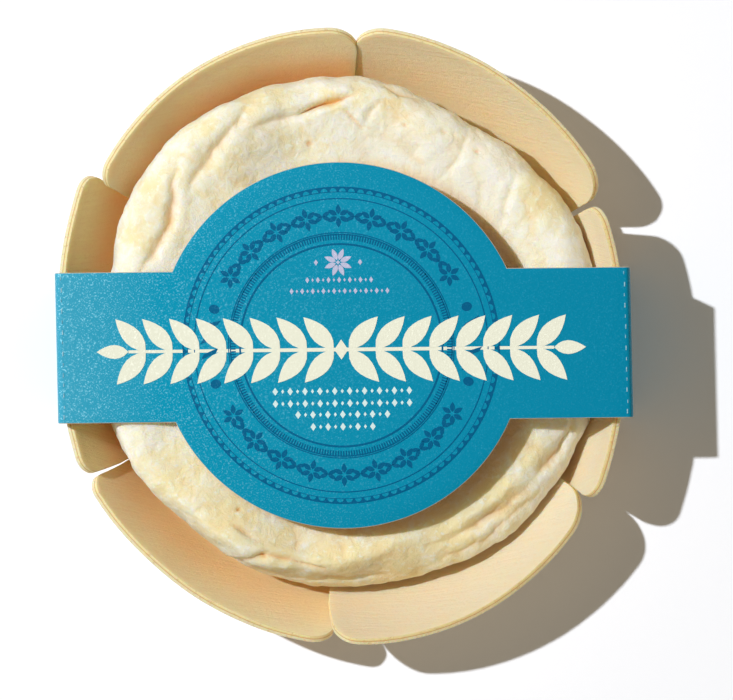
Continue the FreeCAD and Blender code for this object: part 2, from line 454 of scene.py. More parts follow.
def spotOf(x, y, place, size):
    # 1 at a place, soft down to 0 round it
    return np.exp(-(np.hypot(x - place[0], y - place[1]) / size) ** 2)


def rindRelief(points, centre):
    # how far each point of the rind stands out, and how brown it is: browner folds with painted crease
    # shade, and the painted shadow under the card's panel
    x, y, z = points[:, 0], points[:, 1], points[:, 2]
    relief = cheeseValues["lumpHeight"] * fractalNoise(points, 12.0, 2, 3.7)
    stirred = points + 2.2 * fractalNoise(points, 5.0, 2, 5.1)[:, None] * (1, -1, 0.5)
    ripples = plainNoise(stirred, 3.2, 8.4)
    wide = softFolds(stirred, 7.5, 11.2, 0.16)
    narrow = softFolds(stirred, 3.6, 6.6, 0.2)
    relief -= cheeseValues["foldHeights"][0] * wide + cheeseValues["foldHeights"][1] * narrow
    relief += cheeseValues["rippleHeight"] * ripples
    relief += cheeseValues["grainHeight"] * fractalNoise(points, 1.25, 3, 1.9)
    # fine wrinkles that run along the edge of the cheese
    away = np.hypot(x - centre[0], y - centre[1])
    turn = np.arctan2(y - centre[1], x - centre[0])
    ringed = np.column_stack([np.cos(turn) * 7, np.sin(turn) * 7, (away + z) / 1.5])
    nearEdge = smooth(*cheeseValues["edgeZone"], away)
    relief += cheeseValues["edgeWrinkle"] * plainNoise(ringed, 1.0, 2.2) * nearEdge
    relief += cheeseValues["edgeHeight"] * fractalNoise(points, 6.0, 2, 14.6) * nearEdge
    brown = 0.16 * wide + 0.06 * narrow
    onTop = smooth(9.0, 13.0, z)
    for line, width, depth, lips, browningAndShade in creases:
        off, along = distanceAlong(x + 0.5 * ripples, y - 0.5 * ripples, line)
        taper = np.sin(math.pi * np.clip(along, 0.02, 0.98)) ** 0.6
        reachOver = width * (0.55 + 0.45 * taper)
        cut = np.exp(-(off / reachOver) ** 1.35) * taper
        lip = np.exp(-((off - 2.6 * width) / (1.7 * width)) ** 2) * taper
        relief += onTop * (lips * lip - depth * cut)
        brown = np.maximum(brown, browningAndShade * cut ** 1.3 * onTop)
    for place, size, depth, browningAndShade in hollows:
        dent = spotOf(x, y, place, size)
        relief -= depth * dent * onTop
        brown = np.maximum(brown, browningAndShade * dent * onTop)
    # painted shadow of the card's round panel: a ring under its edge turns golden brown
    panelShadow = cheeseValues["panelShadow"]
    fromPanel = np.hypot(x - panelShadow["place"][0], y - panelShadow["place"][1])
    under = smooth(panelShadow["high"], panelShadow["low"], fromPanel)
    brown = np.maximum(brown, panelShadow["share"] * under)
    return relief * smooth(3.5, 8.0, z), brown


def yellowOf(x, y):
    # above 0 where the rind is yellow, below where its bloom is whitest
    yellow = np.zeros(len(x))
    for place, size, share in yellowPatches:
        yellow = np.maximum(yellow, share * spotOf(x, y, place, size))
    for place, size, share in whitePatches:
        yellow = yellow - share * spotOf(x, y, place, size)
    return yellow


def makeCheese(material):
    *centre, floor, top = placeOf("cheese")
    rings = cheeseRings(centre, floor, top)
    rows, columns = rings.shape[:2]
    across = np.roll(rings, -1, axis=1) - np.roll(rings, 1, axis=1)
    normals = np.cross(across, np.gradient(rings, axis=0))
    normals /= np.linalg.norm(normals, axis=2, keepdims=True) + 1e-9
    flat = rings.reshape(-1, 3)
    relief, brown = rindRelief(flat, centre)
    points = flat + normals.reshape(-1, 3) * relief[:, None]
    points[:, 2] = np.clip(points[:, 2], floor, cheeseValues["pressedTop"])
    loops = np.arange(rows * columns).reshape(rows, columns)
    faces = [tuple(loops[0].tolist()), tuple(loops[-1].tolist())]
    for loop, above in zip(loops, loops[1:]):
        faces += loopFaces(loop, above)
    mesh = makeMesh("cheese_rind", points, faces)
    addValues(mesh, "brown", brown)
    addValues(mesh, "yellow", yellowOf(points[:, 0], points[:, 1]))
    return placePiece(mesh, "cheese_rind", material, "cheese")


def rindMaterial():
    # soft bloomy rind: ivory bloom, straw yellow where it has worn, brown in the folds with painted crease
    # shade, and a painted shadow under the card's panel
    material, tree, shader = newMaterial("bloomyRind", {
        "Specular IOR Level": 0.25, "Subsurface Weight": 0.7, "Subsurface Radius": (1.0, 0.82, 0.5),
        "Subsurface Scale": 0.0035})
    where = objectPoint(tree)
    broad = noiseOf(tree, where, 65, 4, 0.6)
    mottle = noiseOf(tree, where, 210, 6, 0.65, 0.5)
    fine = noiseOf(tree, where, 850, 4, 0.65)
    small = noiseOf(tree, where, 430, 5, 0.7, 0.8)
    streaks = noiseOf(tree, where, 150, 6, 0.72, 1.8)
    grain = noiseOf(tree, where, 2200, 3, 0.6)
    yellow = attributeOf(tree, "yellow")
    worn = layered(tree, (yellow, 1.0), (mottle, -0.8), (small, -0.7), (broad, 0.6), (fine, -0.35))
    bloom = mixColour(tree, rangeOf(tree, broad, 0.35, 0.65), tint(250, 242, 214), tint(253, 251, 236))
    rind = coated(tree, bloom,
                  (small, 0.40, 0.62, 0.6, (255, 255, 246)),
                  (streaks, 0.50, 0.66, 0.42, (243, 229, 186)),
                  (yellow, 0.0, -0.4, 0.6, (255, 253, 241)),
                  (worn, -0.66, 0.08, 0.95, (247, 232, 184)),
                  (fine, 0.53, 0.68, 0.65, (255, 255, 243)))
    # golden brown mixed in by the brown share: the folds' own colour, painted crease shade and the painted
    # shadow of the panel
    rindWithShade = mixColour(tree, attributeOf(tree, "brown"), rind, tint(226, 172, 84))
    height = layered(tree, (small, 1.0), (fine, 0.6), (grain, 0.15))
    linkFinish(tree, shader, rindWithShade, rangeOf(tree, mottle, 0.3, 0.7, 0.52, 0.72), height, 0.7, 0.0006)
    return material


cheese = makeCheese(rindMaterial())
print("cheese made")


# the wooden tray
trayValues = {
    "hub": (0.2, -0.2),            # middle of the blank, from the middle of the tray's box
    "thickness": 1.5,
    "floorRadius": 37.5,
    "bendRadius": 8.0,             # on the inside
    "edgeRound": 0.16,
    "cornerSteps": 9,
    "middleSteps": 64,
    "bendSteps": 9,
    "flankSteps": 20,
    "rings": [0.75, 0.4, 0.1],     # of the flat floor, as shares of its radius
    "warp": 0.35,                  # how far the bent ply waves out of true
    "pushReach": 0.45,             # share of a petal over which its pushed end eases back
}
# one entry per petal, anticlockwise from the right: centre of its rim from the hub, rim
# radius, lean off upright, rim height, corner radius at its start and end, how far its start
# and end are pushed in, share of painted fill light that makes petals away from the key
# brighter and yellower, share of painted orange shade near the cheese
petals = [
    {"centre": (-34.9, -1.4), "rim": 88.0, "lean": 23, "height": 21.8,
     "corners": (5.0, 4.5), "push": (0.0, 0.0), "warmFill": 0.1, "browningAndShade": 0.3},
    {"centre": (-0.8, 2.4), "rim": 56.7, "lean": 31, "height": 20.0,
     "corners": (6.5, 6.0), "push": (0.0, -0.4), "warmFill": 0.35, "browningAndShade": 0.2},
    {"centre": (0.3, 5.1), "rim": 54.2, "lean": 36, "height": 19.6,
     "corners": (6.0, 4.0), "push": (0.5, 0.7), "warmFill": 0.55, "browningAndShade": 0.9},
    {"centre": (34.5, 2.0), "rim": 89.0, "lean": 33.5, "height": 19.8,
     "corners": (4.0, 4.0), "push": (-0.6, 0.0), "warmFill": 1.0, "browningAndShade": 0.8},
    {"centre": (2.4, -0.9), "rim": 57.2, "lean": 32, "height": 17.6,
     "corners": (3.2, 5.5), "push": (-0.8, -0.4), "warmFill": 0.5, "browningAndShade": 0.5},
    {"centre": (1.1, -6.5), "rim": 52.0, "lean": 36, "height": 20.0,
     "corners": (5.0, 7.0), "push": (0.9, 0.0), "warmFill": 0.0, "browningAndShade": 0.1},
]
# the cut before each petal: direction in degrees, its width at the floor and at the rim, and
# how far it wanders sideways halfway up and at the rim
cuts = [
    {"angle": -33.4, "width": (0.0, -0.1), "sway": (0.3, 0.0)},
    {"angle": 28.7, "width": (0.9, 1.1), "sway": (0.0, 0.0)},
    {"angle": 87.7, "width": (-0.2, -0.7), "sway": (0.2, 0.0)},
    {"angle": 147.1, "width": (-0.1, -0.6), "sway": (-0.3, 0.0)},
    {"angle": 208.6, "width": (0.0, 0.9), "sway": (0.5, 0.0)},
    {"angle": 268.5, "width": (-0.2, -0.7), "sway": (-1.6, -0.3)},
]


def directionOf(turn):
    return np.array([math.cos(turn), math.sin(turn)])


def turnBetween(first, second, share):
    # a share of the way round from one point's direction to the other's, anticlockwise
    start, end = (math.atan2(point[1], point[0]) for point in (first, second))
    end += 2 * math.pi if end < start else 0
    return start + (end - start) * share


def sideLine(cut, share, side):
    # start and direction of one side of a cut, at a share of the way up: side is 1 for the
    # side after the cut, -1 for the side before it
    turn = math.radians(cut["angle"])
    width = cut["width"][0] + (cut["width"][1] - cut["width"][0]) * share ** 2
    halfway, atRim = cut["sway"]
    if share < 0.5:
        sway = halfway * math.sin(math.pi * share)
    else:
        sway = atRim + (halfway - atRim) * (1 + math.cos(math.pi * (share - 0.5) * 2)) / 2
    offset = side * (width / 2 + trayValues["edgeRound"]) + sway
    return np.array([-math.sin(turn), math.cos(turn)]) * offset, directionOf(turn)


def meetCircle(line, centre, radius):
    # where a side line crosses a circle
    start, along = line
    offset = start - np.asarray(centre)
    half = offset @ along
    return start + along * (-half + math.sqrt(half * half - offset @ offset + radius * radius))


def petalProfile(petal, floor):
    # inside of a petal: where its bend starts, the runs along its bend and flank, its lean and
    # the height it starts from
    lean = math.radians(petal["lean"])
    bend = trayValues["bendRadius"]
    bendRise = bend * (1 - math.sin(lean))
    flankRise = petal["height"] - floor - bendRise
    rimInside = petal["rim"] - trayValues["thickness"] * math.cos(lean)
    bendStart = rimInside - flankRise * math.tan(lean) - bend * math.cos(lean)
    bendRun = bend * (math.pi / 2 - lean)
    flankRun = flankRise / math.cos(lean)
    return bendStart, bendRun, flankRun, lean, floor


def profilePoint(profile, run):
    # radius and height at a run along the inside of a petal
    bendStart, bendRun, _, lean, floor = profile
    bend = trayValues["bendRadius"]
    if run < bendRun:
        turn = run / bend
        return bendStart + bend * math.sin(turn), floor + bend * (1 - math.cos(turn))
    turn = math.pi / 2 - lean
    past = run - bendRun
    radius = bendStart + bend * math.sin(turn) + past * math.sin(lean)
    return radius, floor + bend * (1 - math.cos(turn)) + past * math.cos(lean)


def columnShares(length, corners):
    # places across a petal, close together at its rounded corners, with the drop of the rim there
    steps, middleSteps = trayValues["cornerSteps"], trayValues["middleSteps"]
    turns = [math.pi / 2 * step / steps for step in range(steps)]
    start, end = corners[0] / length, 1 - corners[1] / length
    shares = [corners[0] * (1 - math.cos(turn)) / length for turn in turns]
    shares += [start + (end - start) * step / middleSteps for step in range(middleSteps + 1)]
    shares += [1 - corners[1] * (1 - math.cos(turn)) / length for turn in reversed(turns)]
    drops = [corners[0] * (1 - math.sin(turn)) for turn in turns] + [0.0] * (middleSteps + 1)
    drops += [corners[1] * (1 - math.sin(turn)) for turn in reversed(turns)]
    return shares, drops


def petalGrid(index, floor):
    # inside face of one petal, column by column from the floor ring to the rim, and the same
    # points as they lie on the flat blank
    petal = petals[index]
    cut, nextCut = cuts[index], cuts[(index + 1) % len(cuts)]
    profile = petalProfile(petal, floor)
    bendRun = profile[1]
    run = bendRun + profile[2] - trayValues["edgeRound"]
    centre = np.array(petal["centre"])
    first, second = sideLine(cut, 0, 1), sideLine(nextCut, 0, -1)
    ends = [meetCircle(line, centre, petal["rim"]) for line in (first, second)]
    length = np.linalg.norm(ends[1] - ends[0]) * 1.05
    floorRadius, reach = trayValues["floorRadius"], trayValues["pushReach"]
    floorEnds = [meetCircle(line, (0, 0), floorRadius) for line in (first, second)]
    bendSteps, flankSteps = trayValues["bendSteps"], trayValues["flankSteps"]
    columns, flat = [], []
    for share, drop in zip(*columnShares(length, petal["corners"])):
        runs = [bendRun * k / bendSteps for k in range(bendSteps)]
        runs += [bendRun + (run - drop - bendRun) * k / flankSteps for k in range(flankSteps + 1)]
        push = petal["push"][0] * max(0, 1 - share / reach) ** 2
        push += petal["push"][1] * max(0, 1 - (1 - share) / reach) ** 2
        onBlank = directionOf(turnBetween(*floorEnds, share))
        column, developed = [(*onBlank * floorRadius, floor)], [onBlank * floorRadius]
        for here in runs:
            radius, height = profilePoint(profile, here)
            sides = sideLine(cut, here / run, 1), sideLine(nextCut, here / run, -1)
            start, end = (meetCircle(line, centre, radius) - centre for line in sides)
            out = directionOf(turnBetween(start, end, share))
            pushed = push * max(0.0, (here - bendRun * 0.4) / run) ** 1.5
            column.append((*(centre + out * (radius - pushed)), height + 0.4 * pushed))
            developed.append(onBlank * (floorRadius + 3 + here))
        columns.append(column)
        flat.append(developed)
    return np.array(columns), np.array(flat)


def upOf(grid):
    # directions out of a petal's inside face, straight up where it meets the floor
    normals = np.cross(np.gradient(grid, axis=0), np.gradient(grid, axis=1))
    normals /= np.linalg.norm(normals, axis=2, keepdims=True) + 1e-12
    if normals[:, 0, 2].mean() < 0:
        normals = -normals
    normals[:, 0] = (0, 0, 1)
    return normals


def warpPetal(grid, index):
    # thin ply never bends quite true
    wave = fractalNoise(grid.reshape(-1, 3), 26.0, 2, 2.3 + 1.7 * index).reshape(grid.shape[:2])
    rise = smooth(4.0, 20.0, grid[:, :, 2])
    return grid + upOf(grid) * (trayValues["warp"] * wave * rise)[:, :, None]


def edgeSteps():
    # round-over of a cut edge, as steps out of the edge and down through the ply
    thick, rounding = trayValues["thickness"], trayValues["edgeRound"]
    turns = [math.radians(turn) for turn in (35, 65, 90)]
    rounded = [(rounding * math.sin(turn), rounding * (1 - math.cos(turn))) for turn in turns]
    straight = [(rounding, thick * share) for share in (0.3, 0.5, 0.7)]
    return rounded + straight + [(out, thick - down) for out, down in reversed(rounded)]


def edgeStrips(edge, up):
    # rows of points round the cut edge of the ply, a little rough
    tangent = np.roll(edge, -1, axis=0) - np.roll(edge, 1, axis=0)
    tangent /= np.linalg.norm(tangent, axis=1, keepdims=True)
    out = np.cross(tangent, up)
    out /= np.linalg.norm(out, axis=1, keepdims=True)
    if np.mean(np.sum(out[:, :2] * edge[:, :2], axis=1)) < 0:
        out = -out
    rough = plainNoise(edge, 1.6, 4.4) * 0.05
    return [edge + out * (outBy + rough * min(outBy / trayValues["edgeRound"], 1))[:, None] - up * down
            for outBy, down in edgeSteps()]


def giveBlank(mesh, blank):
    # lays the grain out on the flat blank that the tray is cut from
    layer = mesh.uv_layers.new(name="blank")
    corners = np.zeros(len(mesh.loops), dtype=np.int32)
    mesh.loops.foreach_get("vertex_index", corners)
    layer.data.foreach_set("uv", blank[corners].reshape(-1))


def makeTray(material):
    middleX, middleY, low, _ = placeOf("tray")
    thick = trayValues["thickness"]
    grids, flats = [], []
    for index in range(len(petals)):
        grid, developed = petalGrid(index, low + thick)
        grids.append(warpPetal(grid, index))
        flats.append(developed)
    rows = grids[0].shape[1]
    # inside face: the petals, then rings of the same columns down to the hub
    inside = np.concatenate(grids)
    columns = len(inside)
    upward = np.concatenate([upOf(grid) for grid in grids])
    middle = [np.column_stack([inside[:, 0, :2] * share, inside[:, 0, 2]]) for share in trayValues["rings"]]
    middle = np.concatenate(middle)
    insideAll = np.concatenate([inside.reshape(-1, 3), middle])
    upAll = np.concatenate([upward.reshape(-1, 3), np.tile((0.0, 0.0, 1.0), (len(middle), 1))])
    size = len(insideAll)
    faces, loop = [], []
    start = 0
    for grid in grids:
        faces += gridFaces(len(grid), rows, start)
        # the cut edge runs once round all the petals and into every cut
        numbers = start + np.arange(len(grid) * rows).reshape(len(grid), rows)
        loop += [numbers[0], numbers[1:-1, -1], numbers[-1, ::-1]]
        start += len(grid) * rows
    rings = [np.arange(columns) * rows]
    rings += [start + ring * columns + np.arange(columns) for ring in range(len(trayValues["rings"]))]
    for outer, inner in zip(rings, rings[1:]):
        faces += loopFaces(outer, inner)
    faces.append(tuple(rings[-1].tolist()))
    faces += [tuple(size + corner for corner in reversed(face)) for face in faces]
    loop = np.concatenate(loop)
    strips = edgeStrips(insideAll[loop], upAll[loop])
    count = len(loop)
    bands = [loop] + [2 * size + k * count + np.arange(count) for k in range(len(strips))] + [loop + size]
    for one, two in zip(bands, bands[1:]):
        faces += [(a, d, c, b) for a, b, c, d in loopFaces(one, two)]
    points = np.concatenate([insideAll, insideAll - upAll * thick] + strips)
    points[:, :2] += (middleX + trayValues["hub"][0], middleY + trayValues["hub"][1])
    mesh = makeMesh("tray_petals", points, faces)

    def onAll(values):
        # the same values inside and outside, and on the cut edge
        return np.concatenate([values, values] + [values[loop]] * len(strips))

    depth = [np.zeros(size), np.ones(size)] + [np.full(count, down / thick) for _, down in edgeSteps()]
    addValues(mesh, "plyDepth", np.concatenate(depth))
    for key in ("warmFill", "browningAndShade"):
        perPetal = [np.full(len(grid) * rows, petal[key]) for petal, grid in zip(petals, grids)]
        addValues(mesh, key, onAll(np.concatenate(perPetal + [np.full(len(middle), 0.4)])))
    blank = np.concatenate([np.concatenate(flats).reshape(-1, 2), middle[:, :2]])
    giveBlank(mesh, onAll(blank) * mm)
    return placePiece(mesh, "tray_petals", material, "tray")


def plyMaterial():
    # poplar ply: faint long grain on the faces, plies and a glue line on the cut edges
    material, tree, shader = newMaterial("poplarPly", {
        "Specular IOR Level": 0.25, "Subsurface Weight": 0.6, "Subsurface Radius": (1.0, 0.5, 0.2),
        "Subsurface Scale": 0.004})
    blank = addNode(tree, "ShaderNodeUVMap", uv_map="blank").outputs[0]
    where = objectPoint(tree)
    turned = addNode(tree, "ShaderNodeMapping", {"Vector": blank, "Rotation": (0, 0, math.radians(24)),
                     "Scale": (1.0, 14.0, 1.0)}).outputs[0]
    grain = noiseOf(tree, turned, 120, 5, 0.6, 0.3)
    pores = noiseOf(tree, turned, 520, 3, 0.6)
    cloud = noiseOf(tree, where, 45, 3, 0.5)
    hair = noiseOf(tree, where, 1500, 4, 0.7)
    fibre = noiseOf(tree, where, 1300, 2, 0.6)
    height = addNode(tree, "ShaderNodeSeparateXYZ", {"Vector": where}).outputs["Z"]
    # painted fill light: petals facing away from the key get a brighter, yellower face colour
    face = mixColour(tree, attributeOf(tree, "warmFill"), tint(232, 222, 198), tint(255, 237, 187))
    face = coated(tree, face,
                  (cloud, 0.3, 0.7, 0.25, (248, 219, 171)),
                  (grain, 0.35, 0.7, 0.12, (226, 190, 138)),
                  (pores, 0.56, 0.76, 0.2, (226, 188, 136)),
                  (hair, 0.5, 0.66, 0.3, (240, 207, 160)),
                  # painted shade: the faces turn greyer tan towards the rims
                  (height, 0.0165, 0.0195, 0.3, (236, 216, 176)))
    # painted shade: the lower faces turn orange towards the cheese, for its bounce light and shade there
    nearCheeseShade = calc(tree, "MULTIPLY", rangeOf(tree, height, 0.018, 0.008), attributeOf(tree, "browningAndShade"))
    face = mixColour(tree, nearCheeseShade, face, tint(248, 192, 128))
    depth = attributeOf(tree, "plyDepth")
    drift = calc(tree, "SUBTRACT", noiseOf(tree, where, 260, 3), 0.5)
    uneven = calc(tree, "ADD", depth, calc(tree, "MULTIPLY", drift, 0.12))
    plies = [(0.0, tint(218, 188, 132)), (0.10, tint(246, 228, 180)), (0.36, tint(242, 220, 166)),
             (0.43, tint(214, 178, 118)), (0.49, tint(218, 184, 126)), (0.56, tint(246, 230, 190)),
             (0.90, tint(246, 230, 192)), (1.0, tint(232, 206, 158))]
    cut = coated(tree, rampOf(tree, uneven, plies), (fibre, 0.55, 0.75, 0.5, (198, 158, 100)))
    inCut = calc(tree, "MULTIPLY", rangeOf(tree, depth, 0.005, 0.03), rangeOf(tree, depth, 0.995, 0.97))
    relief = layered(tree, (grain, 1.0), (pores, 0.7), (hair, 0.8),
                     (fibre, calc(tree, "MULTIPLY", inCut, 0.9)))
    linkFinish(tree, shader, mixColour(tree, inCut, face, cut),
               rangeOf(tree, grain, 0.3, 0.7, 0.5, 0.68), relief, 0.5, 0.0004)
    return material


tray = makeTray(plyMaterial())
print("tray made")


# the card band with its round panel
cardValues = {
    "thickness": 0.45,
    "bandWidth": 28.35,
    "bandLength": 107.7,           # between the two top folds
    "footLength": 105.6,
    "bulgeLength": 108.8,
    "bulgeHeight": 19.0,
    "foldRadius": 0.9,
    "turn": 0.62,                  # degrees
    "skew": 0.012,                 # how far out of square it stands
    "discRadius": 34.5,
    "discOffset": -0.5,            # along the band
    "cutBevel": 0.13,              # pale core that shows along the cut edges
    "cutSteps": [(0.75, 0.06), (1.0, 0.3), (1.0, 0.7), (0.75, 0.94)],    # shares of bevel and card
    "bow": 0.35,                   # rise of the top's middle over its folds
    "droop": 1.3,                  # fall of the round panel's free lobes
    "discColumns": 96,
    "armColumns": 10,
    "rows": 20,
}


def cardTop(x, y):
    # height of the top panel over its folds, in the band's own coordinates
    half = cardValues["bandLength"] / 2
    bow = cardValues["bow"] * (1 - (np.asarray(x) / half) ** 2)
    lobe = np.clip((np.abs(y) - cardValues["bandWidth"] / 2) / 20, 0, 1) ** 1.4
    return bow - cardValues["droop"] * lobe


def layOnCard(points):
    # from the band's own flat coordinates to where the card lies
    middleX, middleY, _, top = placeOf("sleeve")
    turn = math.radians(cardValues["turn"])
    y = points[:, 1]
    x = points[:, 0] - cardValues["skew"] * y
    z = top + points[:, 2]
    return np.column_stack([middleX + x * math.cos(turn) - y * math.sin(turn),
                            middleY + x * math.sin(turn) + y * math.cos(turn), z])


def bezier(a, b, c, steps):
    t = (np.arange(steps) / steps)[:, None]
    a, b, c = np.array(a), np.array(b), np.array(c)
    return (1 - t) ** 2 * a + 2 * t * (1 - t) * b + t * t * c


def sideReach(height, top):
    # half length of the band at a height: out to the bulge, in to the foot
    halfTop, halfFoot = cardValues["bandLength"] / 2, cardValues["footLength"] / 2
    halfBulge, bulge = cardValues["bulgeLength"] / 2, cardValues["bulgeHeight"]
    return np.interp(height, [0, bulge * 0.5, bulge, top], [halfFoot, (halfFoot + halfBulge) / 2 + 0.35,
                     halfBulge, halfTop])


def cardLoop(top):
    # outer section of the band as (x, z), clockwise from the left end of the top panel
    fold = cardValues["foldRadius"]
    half = cardValues["bandLength"] / 2 - fold
    disc, offset = cardValues["discRadius"], cardValues["discOffset"]
    reach = math.sqrt(disc ** 2 - (cardValues["bandWidth"] / 2) ** 2)
    edgeTurn = math.asin(reach / disc)
    arms = cardValues["armColumns"]
    stations = list(np.linspace(-half, offset - reach, arms + 1)[:-1])
    turns = np.linspace(-edgeTurn, edgeTurn, cardValues["discColumns"] + 1)
    stations += list(offset + disc * np.sin(turns))
    stations += list(np.linspace(offset + reach, half, arms + 1)[1:])
    upper = np.array([(x, top) for x in stations])
    foldEnd = top - fold
    right = bezier((half, top), (sideReach(top, top), top), (sideReach(foldEnd, top), foldEnd), 7)[1:]
    sideHeights = np.linspace(foldEnd, fold, 15)
    side = np.column_stack([sideReach(sideHeights, top), sideHeights])
    halfFoot = cardValues["footLength"] / 2
    lower = bezier((sideReach(fold, top), fold), (halfFoot, 0), (halfFoot - fold, 0), 7)[1:]
    base = np.column_stack([np.linspace(halfFoot - fold, 0, 12), np.zeros(12)])
    rightHalf = np.concatenate([right, side, lower, base])
    leftHalf = rightHalf[::-1][1:] * (-1, 1)
    return np.concatenate([upper, rightHalf, leftHalf]), len(upper)


def panelColumn(x, onTop):
    # half width of the card at a place along the band, and which way its cut edge looks
    disc, halfWidth = cardValues["discRadius"], cardValues["bandWidth"] / 2
    reach = math.sqrt(disc ** 2 - halfWidth ** 2)
    away = x - cardValues["discOffset"]
    if not onTop or abs(away) > reach + 1e-6:
        return halfWidth, (0.0, 1.0)
    half = math.sqrt(max(disc ** 2 - away ** 2, halfWidth ** 2))
    out = (away / disc, half / disc)
    if abs(abs(away) - reach) < 1e-4:
        out = (out[0] / (1 + out[1]), 1.0)    # inner corner between the band and the panel
    return half, out


def makeSleeve(material):
    top = placeOf("sleeve")[3]
    section, topCount = cardLoop(top)
    count, rows = len(section), cardValues["rows"]
    tangent = np.roll(section, -1, axis=0) - np.roll(section, 1, axis=0)
    tangent /= np.linalg.norm(tangent, axis=1, keepdims=True)
    bevel, thick = cardValues["cutBevel"], cardValues["thickness"]
    made = [panelColumn(x, column < topCount) for column, (x, _) in enumerate(section)]
    halves = np.array([half for half, _ in made])
    outs = np.array([out for _, out in made])
    outer = np.zeros((count, rows, 3))
    outer[:, :, 0] = section[:, None, 0]
    outer[:, :, 1] = halves[:, None] * np.linspace(-1, 1, rows)
    outer[:, :, 2] = section[:, None, 1]
    normals = np.zeros((count, rows, 3))
    normals[:, :, 0] = -tangent[:, None, 1]
    normals[:, :, 2] = tangent[:, None, 0]
    if normals[topCount // 2, 0, 2] < 0:
        normals = -normals
    size = count * rows
    strips, faces = [], []
    first = 2 * size
    for row, sign in ((0, -1), (rows - 1, 1)):
        out = np.column_stack([outs[:, 0], outs[:, 1] * sign, np.zeros(count)])
        outer[:, row] -= out * bevel
        rim = np.arange(count) * rows + row
        bands = [rim]
        for bevelShare, cardShare in cardValues["cutSteps"]:
            strips.append(outer[:, row] + out * bevel * bevelShare - normals[:, row] * thick * cardShare)
            bands.append(first + np.arange(count))
            first += count
        bands.append(rim + size)
        for one, two in zip(bands, bands[1:]):
            faces += loopFaces(one, two)
    for face in gridFaces(count, rows, 0, True):
        faces += [face, tuple(size + corner for corner in reversed(face))]
    inner = outer - normals * thick
    points = np.concatenate([outer.reshape(-1, 3), inner.reshape(-1, 3)] + strips)
    onTop = points[:, 2] > top - 2 * thick
    points[:, 2] += np.where(onTop, cardTop(points[:, 0], points[:, 1]), 0) - top
    mesh = makeMesh("card_sleeve", layOnCard(points), faces)
    addValues(mesh, "core", np.arange(len(points)) >= size)
    return placePiece(mesh, "card_sleeve", material, "sleeve")


def pearlInk(name, shades, fleck, fleckShare, cored=False):
    # printed card with a pearlescent varnish: its shades shift and its flecks thicken towards the left, a
    # painted sheen and painted glints of the key light
    material, tree, shader = newMaterial(name, {"Specular IOR Level": 0.06})
    where = objectPoint(tree)
    low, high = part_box("sleeve")
    along = addNode(tree, "ShaderNodeSeparateXYZ", {"Vector": where}).outputs["X"]
    # share of painted sheen: 0 at the right end of the band, 1 at the left
    sheenShare = addNode(tree, "ShaderNodeMapRange", {0: along, 1: high.x, 2: low.x, 3: 0.0, 4: 1.0}).outputs[0]
    last = len(shades) - 1
    shade = rampOf(tree, sheenShare, [((step / last) ** 0.5, colour) for step, colour in enumerate(shades)])
    speck = noiseOf(tree, where, 3300, 2, 0.7)
    coarse = noiseOf(tree, where, 1500, 2, 0.6)
    # flecks show more towards the left: painted glints
    strength = calc(tree, "MULTIPLY", calc(tree, "ADD", calc(tree, "POWER", sheenShare, 3.0), 0.05), fleckShare)
    flecks = rangeOf(tree, layered(tree, (speck, 0.85), (coarse, 0.15)), 0.52, 0.68)
    ink = mixColour(tree, calc(tree, "MULTIPLY", flecks, strength), shade, fleck)
    metal = calc(tree, "MULTIPLY", flecks, 0.25)
    if cored:
        core = attributeOf(tree, "core")
        board = mixColour(tree, noiseOf(tree, where, 700, 3), tint(232, 214, 182), tint(214, 196, 162))
        ink = mixColour(tree, core, ink, board)
        metal = calc(tree, "MULTIPLY", metal, calc(tree, "SUBTRACT", 1.0, core))
    tree.links.new(metal, shader.inputs["Metallic"])
    height = layered(tree, (speck, 1.0), (coarse, 1.2))
    linkFinish(tree, shader, ink, rangeOf(tree, coarse, 0.3, 0.7, 0.42, 0.56), height, 0.35, 0.00012)
    return material


inkShades = {                      # from the right end of the band to the left, as the painted sheen grows
    "blue": [tint(0, 134, 171), tint(4, 144, 180), tint(0, 149, 186), tint(60, 164, 197)],
    "deepBlue": [tint(0, 92, 136), tint(0, 97, 141), tint(6, 104, 146)],
    "cream": [tint(240, 243, 226), tint(234, 238, 220)],
    "lilac": [tint(190, 194, 224), tint(190, 194, 224)],
    "paleBlue": [tint(214, 238, 240), tint(214, 238, 240)],
}
fleckColours = {"blue": tint(150, 218, 236), "deepBlue": tint(90, 160, 192), "pale": tint(250, 250, 244)}
sleeve = makeSleeve(pearlInk("pearlBlueCard", inkShades["blue"], fleckColours["blue"], 0.8, True))
print("card band made")


# what is printed on the card
printValues = {
    "height": 0.04,                # how far the ink stands out of the card
    "sunk": 0.03,
    "beadBand": (28.8, 29.85),
    "beadCount": 106,
    "outerLine": (27.5, 27.7),
    "innerLine": (21.1, 21.28),
    "tickBand": (19.85, 20.95),
    "tickCount": 256,
    "boldLine": (18.85, 19.2),
    "flowerRadius": 24.35,
    "flowerStep": 14.4,            # degrees between two flowers
    "flowerCount": 9,
    "dividerRadius": 24.75,
    "branchHalf": 46.0,            # half length of the leafy branch
    "leafPitch": 5.05,
    "leafPairs": 9,
    "flowerPlace": (-0.25, 15.6),
    "fineRows": [((-6.1, 12.3), 13), ((-9.1, 10.2), 19)],    # start of each, and how many
    "diamondRows": [(-8.6, 19), (-10.9, 19), (-13.0, 13), (-15.3, 9)],    # height of each, and how many
}


def flatShape(outline, height):
    # thin closed plate on an outline of (x, y) points, its underside sunk into the card
    low = -printValues["sunk"]
    count = len(outline)
    points = [(x, y, height) for x, y in outline] + [(x, y, low) for x, y in outline]
    faces = [tuple(range(count)), tuple(range(2 * count - 1, count - 1, -1))]
    faces += loopFaces(np.arange(count), np.arange(count, 2 * count))
    return np.array(points), faces


